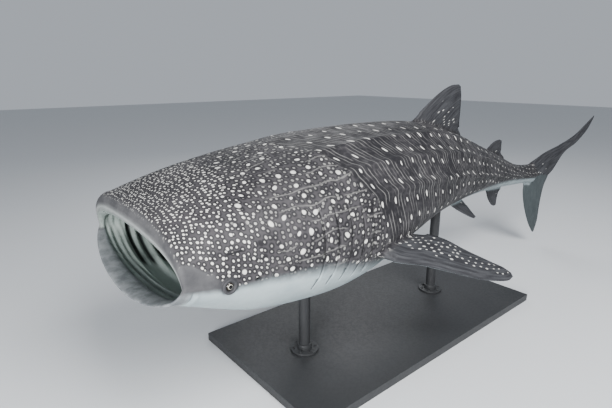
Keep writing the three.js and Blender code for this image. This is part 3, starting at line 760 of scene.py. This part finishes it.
# Flanks: leaning columns of long bright spots with bundles of fine pale lines between them.
flank_c = moved(flank_at[0], swing_u, 0.35, tiny_u, 0.05)
flank_r = moved(flank_at[1], swing_v, 0.5)
long_dots, long_far, _ = hide.dots(flank_r, flank_c, 0.150, 0.068, 0.14, 0.94, 0.0)
column = hide.math("ABSOLUTE", hide.minus(hide.math("FRACT", flank_c), 0.5))
stripes = hide.ramp(hide.math("COSINE", hide.times(flank_c, 4 * 2 * math.pi)), 0.45, 1.0)
patches = hide.vector(hide.times(flank_at[0], 6.0), hide.times(flank_at[1], 1.1), flank_at[2])
stripes = hide.times(stripes, hide.ramp(hide.noise(patches, 1.0, 1.0), 0.38, 0.54))
stripes = hide.times(stripes, hide.ramp(long_far, 1.4, 2.4))
flank_marks = hide.most(long_dots, hide.times(stripes, hide.ramp(column, 0.10, 0.30, 0.08, 0.22)))
# The two patterns meet in a ragged slanting line ahead of the gills.
on_flank = hide.ramp(hide.plus(hide.attribute("zone"), hide.times(swing_u, 0.9)), 0.42, 0.58)
body_marks = hide.plus(hide.times(head_marks, hide.minus(1.0, on_flank)), hide.times(flank_marks, on_flank))
# Lips, cheek, eye rim and belly stay plain, and fins have rows of spots of their own.
ragged = hide.plus(swing_v, tiny_v)
not_fin = hide.without(fin)
plain_cheek = hide.ramp(hide.plus(hide.attribute("cheek"), hide.times(ragged, 0.9)), 0.25, 0.60)
not_lip = hide.without(hide.most(hide.most(band, near_eye), plain_cheek))
on_belly = hide.ramp(hide.plus(hide.attribute("belly"), hide.times(ragged, 0.22)), 0.10, 0.95)
above = hide.without(hide.ramp(on_belly, 0.0, 0.30))
marks = hide.times(hide.times(body_marks, not_lip), hide.times(not_fin, above))
fin_u = moved(hide.times(fin_at[0], 1 / FIN_SPOT_GAP), swing_u, 0.5)
fin_v = moved(hide.times(fin_at[1], 1 / FIN_SPOT_STEP), swing_v, 0.5)
fin_dots, _, fin_chance = hide.dots(fin_v, fin_u, 0.200, 0.165, 0.30, 0.96, 0.381)
fin_dots = hide.times(fin_dots, hide.math("LESS_THAN", fin_chance, hide.attribute("fin_spots")))
marks = hide.most(marks, hide.times(fin_dots, 0.8))
# Ground tones, from the back over the fins and lips to the belly.
mottle = hide.noise(rest, 3.0, 6.0, 0.62)
net = hide.times(hide.ramp(fine_far, 0.28, 0.66), hide.minus(0.23, hide.times(on_flank, 0.12)))
colour = hide.mix(hide.ramp(hide.plus(hide.times(mottle, 0.75), net), 0.32, 0.72), BACK_DARK, BACK_LIGHT)
streak = hide.noise(hide.vector(hide.times(fin_at[0], 60.0), hide.times(fin_at[1], 5.0)), 1.0, 4.0)
colour = hide.mix(fin, colour, hide.mix(hide.ramp(streak, 0.35, 0.68), FIN_DARK, FIN_LIGHT))
lip_tone = hide.mix(hide.ramp(mottle, 0.32, 0.68), LIP_DARK, LIP_LIGHT)
on_lip = hide.times(band, hide.attribute("upper"))
colour = hide.mix(hide.most(on_lip, plain_cheek), colour, lip_tone)
chin = hide.mix(hide.ramp(hide.noise(rest, 17.0, 4.0, 0.6), 0.32, 0.68), CHIN_DARK, CHIN_LIGHT)
pale = hide.mix(band, hide.mix(hide.noise(rest, 6.0, 5.0, 0.6), BELLY_DARK, BELLY_LIGHT), chin)
colour = hide.mix(hide.times(on_belly, not_fin), colour, pale)
colour = hide.mix(near_eye, colour, EYE_RIM)
colour = hide.mix(hide.attribute("under"), colour, pale)
colour = hide.mix(hide.times(hide.attribute("pale_lobe"), 0.55), colour, LOBE_TEAL)
colour = hide.mix(marks, colour, hide.mix(hide.noise(rest, 12.0, 3.0), SPOT_DULL, SPOT_BRIGHT))
# One old scratch lies over the left eye.
above_scratch = hide.minus(rest_at[2], hide.math("MULTIPLY_ADD", rest_at[0], 0.10, -0.062))
beside_scratch = hide.minus(rest_at[0], 0.585)
scratch = hide.times(hide.ramp(hide.math("ABSOLUTE", above_scratch), 0.0065, 0.0025),
                     hide.ramp(hide.math("ABSOLUTE", beside_scratch), 0.066, 0.030))
scratch = hide.times(scratch, hide.math("LESS_THAN", rest_at[1], -0.3))
colour = hide.mix(scratch, colour, SCRATCH_DARK)
# The lining of the mouth, dark only in the gaps between the gill arches: that dark is painted shade, as the
# gaps are not cut open.
lining_tone = hide.mix(hide.noise(rest, 16.0, 6.0, 0.65), LINING_DARK, LINING_LIGHT)
lining_tone = hide.mix(hide.times(hide.attribute("floor"), 0.8), lining_tone, THROAT_PALE)
lining_tone = hide.mix(hide.attribute("deep"), lining_tone, SLOT_SHADE)
colour = hide.mix(hide.attribute("mouth"), colour, lining_tone)
colour = hide.mix(hide.times(hide.attribute("edge"), 0.75), colour, LIP_EDGE)
shader = hide.surface(colour, hide.ramp(hide.noise(rest, 14.0, 3.0), 0.3, 0.7, 0.48, 0.64))
shader.inputs["Specular IOR Level"].default_value = 0.35
scales = hide.cells(hide.vector(hide.times(pat[0], 260.0), hide.times(pat[1], 300.0)), 1.0)
wrinkles = hide.noise(rest, 30.0, 6.0, 0.65)
hide.bumps(shader, hide.plus(hide.times(scales, 0.25), wrinkles), 0.35, 0.004)
skin.data.materials.clear()
skin.data.materials.append(hide.material)
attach(skin, "root")
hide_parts("head", "lower_jaw", "gill_region", "trunk", "tail_base", "tail_stalk", "first_dorsal_fin",
            "second_dorsal_fin", "anal_fin", "caudal_upper_lobe", "caudal_lower_lobe", "pectoral_fin_left",
            "pectoral_fin_right", "pelvic_fin_left", "pelvic_fin_right")

# Eyes: small glassy balls with a black pupil inside a thin pale ring, set low at the sides of the
# head in raised rims. The cornea stands a little proud of the ball.
PUPIL_BLACK = (0.002, 0.002, 0.003, 1)
RING_PALE = (0.50, 0.49, 0.43, 1)
IRIS_DARK = (0.016, 0.013, 0.010, 1)
IRIS_LIGHT = (0.060, 0.052, 0.040, 1)
EYE_SKIN = (0.070, 0.072, 0.075, 1)
glass = Finish("eye_glass")
look = glass.attribute("look", "Vector")
look_at = glass.split(look)
from_middle = glass.math("SQRT", glass.plus(glass.math("POWER", look_at[0], 2.0),
                                            glass.math("POWER", look_at[2], 2.0)))
threads = glass.noise(look, 420.0, 3.0)
from_middle = glass.plus(from_middle, glass.times(glass.minus(threads, 0.5), 0.0016))
iris = glass.mix(glass.noise(look, 700.0, 4.0), IRIS_DARK, IRIS_LIGHT)
eye_colour = glass.mix(glass.ramp(from_middle, 0.0098, 0.0106), PUPIL_BLACK, RING_PALE)
eye_colour = glass.mix(glass.ramp(from_middle, 0.0120, 0.0130), eye_colour, iris)
eye_colour = glass.mix(glass.ramp(from_middle, 0.0172, 0.0190), eye_colour, EYE_SKIN)
glass.surface(eye_colour, glass.ramp(threads, 0.3, 0.7, 0.05, 0.12))
for name, side in (("eye_left", -1), ("eye_right", 1)):
    bpy.ops.object.select_all(action="DESELECT")
    bpy.ops.mesh.primitive_uv_sphere_add(segments=48, ring_count=32, radius=1)
    eye = bpy.context.object
    eye.name = name + "_ball"
    bpy.ops.object.shade_smooth()
    unit = vertex_places(eye.data)
    # The pole of the ball looks outward; the cornea is a low dome on it.
    proud = 1 + 0.08 * smooth((unit[:, 2] - 0.80) / 0.16)
    outward = np.stack([unit[:, 0], side * unit[:, 2], -side * unit[:, 1]], 1)
    outward = outward * proud[:, None] * EYE_RADIUS / 1000
    layer = eye.data.attributes.new("look", "FLOAT_VECTOR", "POINT")
    layer.data.foreach_set("vector", outward.astype(np.float32).ravel())
    centre = np.array([EYE_X, side * eye_y, EYE_Z]) / 1000
    eye.data.vertices.foreach_set("co", (posed(outward + centre) - origin).ravel())
    eye.data.update()
    eye.data.materials.append(glass.material)
    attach(eye, "root")
    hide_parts(name)

# Stand: a flat painted steel box and two tubes, satin black, added to hold up a swimming animal.
# A round flange with a collar and six bolts fixes the foot of each tube to the box.
PAINT_DARK = (0.035, 0.036, 0.038, 1)
PAINT_LIGHT = (0.050, 0.051, 0.054, 1)
FLANGE_RADIUS = 0.105
FLANGE_THICK = 0.016
COLLAR_RADIUS = 0.056
BOLTS = 6
BOLT_CIRCLE = 0.082
paint = Finish("stand_paint")
stand_place = paint.node("ShaderNodeTexCoord").outputs["Object"]
stand_shader = paint.surface(paint.mix(paint.noise(stand_place, 3.0, 4.0), PAINT_DARK, PAINT_LIGHT),
                             paint.ramp(paint.noise(stand_place, 60.0, 3.0), 0.3, 0.7, 0.38, 0.5))
paint.bumps(stand_shader, paint.noise(stand_place, 400.0, 2.0), 0.08, 0.001)
for name in ("stand_base", "stand_rod_front", "stand_rod_rear"):
    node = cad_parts[name]
    node.data.materials.clear()
    node.data.materials.append(paint.material)
base_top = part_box("stand_base")[1].z
for name in ("stand_rod_front", "stand_rod_rear"):
    low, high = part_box(name)
    bpy.ops.object.select_all(action="DESELECT")
    bpy.ops.mesh.primitive_cylinder_add(vertices=72, radius=FLANGE_RADIUS, depth=FLANGE_THICK)
    flange = bpy.context.object
    flange.name = name.replace("rod", "flange")
    bpy.ops.mesh.primitive_cylinder_add(vertices=72, radius=COLLAR_RADIUS, depth=0.050,
                                        location=(0, 0, 0.022))
    parts = [bpy.context.object]
    for k in range(BOLTS):
        turn = math.radians(360 / BOLTS * k + 30)
        bolt_place = (BOLT_CIRCLE * math.cos(turn), BOLT_CIRCLE * math.sin(turn), 0.013)
        bpy.ops.mesh.primitive_cylinder_add(vertices=6, radius=0.011, depth=0.012, location=bolt_place,
                                            rotation=(0, 0, turn))
        parts.append(bpy.context.object)
    for piece in [flange] + parts:
        only(piece)
        bpy.ops.object.transform_apply(location=True, rotation=True, scale=True)
        soften = piece.modifiers.new("edge", "BEVEL")
        soften.width = 0.0018
        soften.segments = 2
        bpy.ops.object.modifier_apply(modifier=soften.name)
    for piece in [flange] + parts:
        piece.select_set(True)
    bpy.context.view_layer.objects.active = flange
    bpy.ops.object.join()
    bpy.ops.object.shade_smooth_by_angle(angle=math.radians(35))
    flange.location = ((low.x + high.x) / 2, (low.y + high.y) / 2, base_top + FLANGE_THICK / 2)
    bpy.ops.object.transform_apply(location=True)
    flange.data.materials.clear()
    flange.data.materials.append(paint.material)
    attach(flange, "root")

# A pale studio floor with soft light from above, one lamp that looks into the mouth, and the camera
# close to the left of the head, as in the photo.
FLOOR_GREY = (0.62, 0.63, 0.64, 1)
SKY_GREY = (0.80, 0.85, 0.92, 1)
CAMERA_PLACE = Vector((-0.412, -2.315, 0.889))
CAMERA_DOWN = 15.81
CAMERA_TURN = 50.23
FOCUS_PIXELS = 459.1
PHOTO_WIDTH = 612
SENSOR = 36
# A lamp: where it is, the point that it looks at, its size and its power.
LAMPS = {"key": ((-2.0, -5.5, 6.0), (-0.5, 0, 1.2), 4.0, 700),
         "mouth": ((-6.4, -3.1, 1.8), (-2.6, 0.1, 1.1), 1.6, 300),
         "back": ((3.0, 5.0, 5.0), (0.5, 0, 1.2), 4.0, 90)}
bpy.ops.mesh.primitive_plane_add(size=60, location=(0, 0, 0))
floor = bpy.context.object
floor.name = "floor"
floor_material = bpy.data.materials.new("floor")
floor_material.use_nodes = True
floor_shader = floor_material.node_tree.nodes["Principled BSDF"]
floor_shader.inputs["Base Color"].default_value = FLOOR_GREY
floor_shader.inputs["Roughness"].default_value = 0.9
floor.data.materials.append(floor_material)
world = bpy.data.worlds.new("studio")
bpy.context.scene.world = world
world.use_nodes = True
world.node_tree.nodes["Background"].inputs["Color"].default_value = SKY_GREY
world.node_tree.nodes["Background"].inputs["Strength"].default_value = 0.46
for name, (spot, aim, size, power) in LAMPS.items():
    lamp = bpy.data.lights.new(name, "AREA")
    lamp.size = size
    lamp.energy = power
    lamp_object = bpy.data.objects.new(name, lamp)
    lamp_object.location = spot
    lamp_object.rotation_euler = (Vector(aim) - Vector(spot)).to_track_quat("-Z", "Y").to_euler()
    bpy.context.collection.objects.link(lamp_object)
camera_data = bpy.data.cameras.new("camera")
camera_data.lens = FOCUS_PIXELS * SENSOR / PHOTO_WIDTH
camera_data.sensor_width = SENSOR
camera_data.clip_end = 200
camera = bpy.data.objects.new("camera", camera_data)
camera.location = CAMERA_PLACE - Vector(origin)
camera.rotation_euler = (math.radians(90 - CAMERA_DOWN), 0, math.radians(CAMERA_TURN - 90))
bpy.context.collection.objects.link(camera)
bpy.context.scene.camera = camera
bpy.context.scene.view_settings.view_transform = "AgX"
bpy.context.scene.view_settings.look = "AgX - Medium High Contrast"
